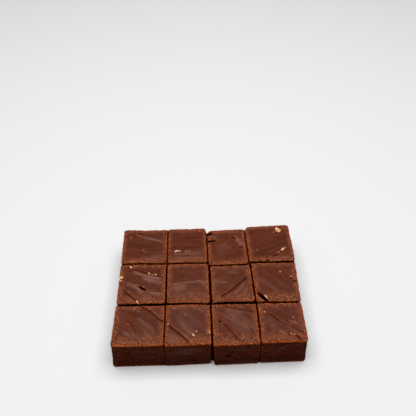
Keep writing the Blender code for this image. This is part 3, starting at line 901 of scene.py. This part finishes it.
def add_node(material, kind, inputs=None, **settings):
    """Adds a node with its settings, and sets or links its inputs, by name or by place."""
    made = material.node_tree.nodes.new(kind)
    for name, value in settings.items():
        setattr(made, name, value)
    for name, value in (inputs or {}).items():
        if isinstance(value, bpy.types.NodeSocket):
            material.node_tree.links.new(value, made.inputs[name])
        else:
            made.inputs[name].default_value = value
    return made


def coat(material, base, tone, mark=None, patches=(), strength=1.0):
    """Lays a colour over the base, where a mark of the mesh and patches of noise let it through.

    Each patch is a size in mm and the levels of noise at which it begins and is full.
    """
    share = strength
    for size, low, high in patches:
        places = add_node(material, "ShaderNodeTexCoord").outputs["Object"]
        grain = {"Vector": places, "Scale": 1 / (size * MM), "Detail": 1.5, "Roughness": 0.6}
        noise_level = add_node(material, "ShaderNodeTexNoise", grain).outputs["Fac"]
        spread = {"Value": noise_level, "From Min": low, "From Max": high, "To Max": share}
        share = add_node(material, "ShaderNodeMapRange", spread).outputs["Result"]
    if mark:
        level = add_node(material, "ShaderNodeAttribute", attribute_name=mark).outputs["Fac"]
        share = add_node(material, "ShaderNodeMath", {0: level, 1: share}, operation="MULTIPLY").outputs[0]
    mix = add_node(material, "ShaderNodeMix", {0: share, 6: base, 7: colour(tone)}, data_type="RGBA")
    return mix.outputs[2]


def new_material(name, ground, coats, roughness, ior=1.45, specular=0.5):
    """A material with a ground colour and the coats that lie over it."""
    material = bpy.data.materials.new(name)
    material.use_nodes = True
    shader = material.node_tree.nodes["Principled BSDF"]
    shader.inputs["Roughness"].default_value = roughness
    shader.inputs["IOR"].default_value = ior
    shader.inputs["Specular IOR Level"].default_value = specular
    shader.inputs["Base Color"].default_value = base = colour(ground)
    for each in coats:
        base = coat(material, base, *each)
    if coats:
        material.node_tree.links.new(base, shader.inputs["Base Color"])
    return material, shader


def vary(material, shader, name, amounts):
    """Adds amounts to one of the shader's values, each as far as its mark says."""
    value = shader.inputs[name].default_value
    for mark, amount in amounts:
        level = add_node(material, "ShaderNodeAttribute", attribute_name=mark).outputs["Fac"]
        terms = {0: level, 1: amount, 2: value}
        made = add_node(material, "ShaderNodeMath", terms, operation="MULTIPLY_ADD", use_clamp=True)
        value = made.outputs[0]
    material.node_tree.links.new(value, shader.inputs[name])


def roughen(material, shader, size, strength, height):
    """A grain that is too fine for the mesh, as a bump."""
    places = add_node(material, "ShaderNodeTexCoord").outputs["Object"]
    grain = {"Vector": places, "Scale": 1 / (size * MM), "Detail": 2.0, "Roughness": 0.6}
    level = add_node(material, "ShaderNodeTexNoise", grain).outputs["Fac"]
    bump = {"Height": level, "Strength": strength, "Distance": height * MM}
    normal = add_node(material, "ShaderNodeBump", bump).outputs["Normal"]
    material.node_tree.links.new(normal, shader.inputs["Normal"])


# The torn lip along a cut: dry orange crumbs, whose bright orange is partly painted light that goes through
# thin crumbs, with darker patches painted as the shade in the hollows between them.
# Fudge breaks into crumbs of 0.1 mm and less, which are too fine to show, so here and in the fudge the
# speckles are 0.65 mm or more.
TORN_RIM = [
    # painted shade far down in cuts, cracks and holes
    ("#120401", "deep", (), 0.92),
    ("#843510", "rim"),
    # brighter crumbs, partly painted light that goes through them
    ("#d4733a", "rim", [(0.8, 0.48, 0.6)]),
    # painted shade in the hollows between crumbs
    ("#431305", "rim", [(1.0, 0.46, 0.38)], 0.85),
]


def spread_fudge():
    """Fudge smoothed by a spatula as it set.

    It is satin, with polished bands painted paler and greyer as the sheen they reflect, painted red-brown
    shade in the grooves, and dry and speckled near the cuts.
    """
    coats = [
        ("#662b11", "streak"),
        # painted sheen: the polished bands are painted paler and greyer, as the light they reflect
        ("#865a4b", "shine"),
        ("#7a4430", "band", [(5.0, 0.3, 0.6)], 0.55),
        ("#b4643a", "threads", [(1.6, 0.36, 0.56)], 0.8),
        # The band's speckle is partly the orange grains of the dry fudge and partly painted light and shade:
        # pale grains and dark hollows.
        ("#bb6e46", "band", [(4.5, 0.2, 0.5), (0.65, 0.54, 0.59)], 0.8),
        ("#361206", "band", [(5.5, 0.2, 0.5), (0.65, 0.47, 0.42)], 0.9),
        ("#9c4f2b", None, [(0.8, 0.66, 0.72)], 0.8),
        # painted shade in grooves, cracks and round the nuts
        ("#451406", "crease"),
    ]
    material, shader = new_material("spread_fudge", "#4c1904", coats + TORN_RIM, 0.42, 1.46, 0.2)
    vary(material, shader, "Roughness", (("shine", -0.08), ("band", 0.2), ("rim", 0.2), ("crease", 0.4)))
    vary(material, shader, "Specular IOR Level", (("rim", -0.16), ("band", -0.05), ("crease", -0.12)))
    roughen(material, shader, 0.5, 0.4, 0.12)
    return material


def cut_fudge():
    """The inside of the fudge where the knife went through: moist and dull, with dragged crumbs. It is
    darker than the top, partly because it is moist and partly as painted shade for sides that face away from
    the light.
    """
    coats = [
        ("#5a200a", "scrape"),
        # painted shade, darker towards the bottom
        ("#200702", "low", (), 0.55),
        # painted sheen: greyer patches on the cut sides, as the light they reflect
        ("#4c2a22", None, [(9.0, 0.52, 0.66)], 0.3),
        ("#200802", None, [(1.5, 0.47, 0.36)], 0.7),
        ("#63280f", None, [(1.2, 0.54, 0.66)], 0.5),
        ("#96461f", None, [(0.8, 0.65, 0.71)], 0.7),
        # painted sheen where the knife pressed the front smooth
        ("#55372c", "pressed", [(4.0, 0.32, 0.6)], 0.7),
        ("#a04c22", "foot", [(1.2, 0.48, 0.58)]),
        # painted shade in the creases of the front
        ("#1c0602", "crease"),
    ]
    # the dark ground is partly the moist fudge's colour and partly painted shade
    material, shader = new_material("knife_cut_fudge", "#300b02", coats + TORN_RIM, 0.75, 1.4, 0.04)
    roughen(material, shader, 0.6, 0.6, 0.15)
    return material


def walnut():
    """Broken walnut: tan on its sides, and pale cream painted on the faces that look up, as the light that
    falls on them.
    """
    coats = [("#ffddb0", "upper"), ("#e88a3e", None, [(0.9, 0.51, 0.57)], 0.9)]
    material, shader = new_material("walnut_flesh", "#c8682c", coats, 0.6, specular=0.15)
    roughen(material, shader, 0.3, 0.5, 0.1)
    return material


def walnut_skin():
    """Flakes of walnut that still have their thin skin: dull and tan, with a little pink."""
    return new_material("walnut_skin", "#b05e30", [("#eca266", None, [(2.0, 0.4, 0.6)])], 0.6)[0]


def crumb_fudge():
    """Crumbs of dry fudge, lighter and more orange than the slab because light goes through them."""
    coats = [("#c06a36", None, [(2.5, 0.35, 0.65)])]
    return new_material("fudge_crumb", "#7c3413", coats, 0.75, specular=0.2)[0]


def pale_board():
    """The plain pale surface that the slab stands on: matt painted wood."""
    return new_material("pale_board", "#fafafa", (), 0.6)[0]


def set_up(name, data, place, way):
    """Puts a camera or a light at a place, turned that way."""
    piece = bpy.data.objects.new(name, data)
    piece.location = place
    piece.rotation_euler = way.to_track_quat("-Z", "Y").to_euler()
    bpy.context.scene.collection.objects.link(piece)
    return piece


def add_camera():
    turn, lift = math.radians(CAMERA_TURN), math.radians(CAMERA_ELEVATION)
    back = Vector((math.sin(turn) * math.cos(lift), -math.cos(turn) * math.cos(lift), math.sin(lift)))
    data = bpy.data.cameras.new("camera")
    data.lens = CAMERA_LENS
    data.sensor_width = 36.0
    data.clip_start = 0.01
    place = (Vector(CAMERA_TARGET) + back * CAMERA_DISTANCE) * MM
    bpy.context.scene.camera = set_up("camera", data, place, -back)


def add_softbox(name, place, width, depth, power):
    """A rectangle of soft white light, turned to the slab."""
    data = bpy.data.lights.new(name, "AREA")
    data.shape = "RECTANGLE"
    data.size, data.size_y = width, depth
    data.energy = power
    set_up(name, data, place, -Vector(place))


def add_light():
    world = bpy.data.worlds.new("studio")
    world.use_nodes = True
    background = world.node_tree.nodes["Background"]
    background.inputs["Color"].default_value = (1.0, 1.0, 1.0, 1.0)
    background.inputs["Strength"].default_value = 0.1
    bpy.context.scene.world = world
    add_softbox("overhead", (0.0, 0.05, 1.1), width=1.2, depth=0.9, power=13.0)
    add_softbox("back", (0.0, 1.25, 0.5), width=1.8, depth=0.35, power=1.2)


def add_floor():
    deselect()
    bpy.ops.mesh.primitive_plane_add(size=6.0)
    floor = bpy.context.object
    floor.name = "floor"
    floor.data.materials.append(pale_board())


def make_squares():
    spread, cut = spread_fudge(), cut_fudge()
    all_walls = {node: Walls(node) for node in SQUARES}

    def level(x, y):
        nearest = min(all_walls.values(), key=lambda walls: np.linalg.norm(walls.top.mean(0) - (x, y)))
        return nearest.height + float(top_wave([(x, y)])[0])

    lenses = [
        hollow((x, y, level(x, y)), (length, width, 2 * depth), turn)
        for x, y, length, width, depth, turn in CRACKS
    ]
    for x, z, width, height, depth in FRONT_HOLES:
        y = min(walls.base[0][1] for walls in all_walls.values() if walls.base[0][0] < x < walls.base[1][0])
        lenses.append(hollow((x, y + HOLE_MIDDLE, z), (width, 2 * depth, height), 0))
    squares = []
    for node in SQUARES:
        block = rough_block(node, all_walls[node])
        carve(block, lenses)
        finish_with(block, "REMESH", mode="VOXEL", voxel_size=SKIN * MM, adaptivity=0.0)
        spread_and_cut(block, node, all_walls[node])
        dress_square(block, node, spread, cut)
        squares.append(block)
    for lens in lenses:
        bpy.data.objects.remove(lens)
    make_webs(all_walls, cut)
    return squares, all_walls


def make_bits(squares, all_walls):
    """The bits of walnut, and the crumbs along the rims."""
    trees = []
    for square in squares:
        points = [Vector(p) for p in places_of(square)]
        trees.append(BVHTree.FromPolygons(points, [tuple(p.vertices) for p in square.data.polygons]))
    draw = random.Random(SEED)
    shapes = [broken_ball(draw, 3, 0.1) for _ in range(BIT_SHAPES)]
    nuts, flakes = [], []
    for x, y, length, width, turn in WALNUT_BITS:
        height = min(WALNUT_HEIGHT, 1.1 * width)
        place = (x, y, level_at(x, y, trees) + 0.2 * height)
        tilt = (draw.uniform(-0.2, 0.2), draw.uniform(-0.2, 0.2))
        size = (BROKEN_OFF * length, BROKEN_OFF * width, BROKEN_OFF * height)
        bit = copy_of(draw.choice(shapes), place, size, turn, tilt)
        (nuts if length > LARGE_BIT else flakes).append(bit)
    nuts, flakes = join(nuts, "walnut_bits"), join(flakes, "walnut_flakes")
    # painted light: the faces that look up are painted pale cream
    write_marks(nuts, upper=smooth(normals_of(nuts)[:, 2], 0.3, 0.8))
    nuts.data.materials.append(walnut())
    flakes.data.materials.append(walnut_skin())
    small_shapes = [broken_ball(draw, 1, 0.1) for _ in range(BIT_SHAPES)]
    crumbs = []
    for walls in all_walls.values():
        for number in range(4):
            start, end = walls.top[number], walls.top[(number + 1) % 4]
            length = np.linalg.norm(end - start)
            inward = np.array((start[1] - end[1], end[0] - start[0])) / length
            for _ in range(int(CRUMBS_PER_MM * length)):
                spot = start + (end - start) * draw.uniform(0.02, 0.98)
                spot = spot + inward * draw.triangular(0.1, CRUMB_REACH, 0.4)
                size = draw.triangular(*CRUMB_SIZE, CRUMB_SIZE[0])
                place = (*spot, level_at(*spot, trees) + 0.15 * size)
                shape = (size, size * draw.uniform(0.6, 1), size * draw.uniform(0.6, 0.9))
                crumbs.append(copy_of(draw.choice(small_shapes), place, shape, draw.uniform(0, 360), (0, 0)))
    crumbs = join(crumbs, "fudge_crumbs")
    crumbs.data.materials.append(crumb_fudge())
    for shape in shapes + small_shapes:
        bpy.data.objects.remove(shape)
    for piece in (nuts, flakes, crumbs):
        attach(piece, "root")
    for piece in (nuts, flakes):
        pick(piece)
        bpy.ops.object.shade_smooth_by_angle(angle=math.radians(40))


add_camera()
add_light()
add_floor()
make_bits(*make_squares())
bpy.context.scene.view_settings.view_transform = "Standard"
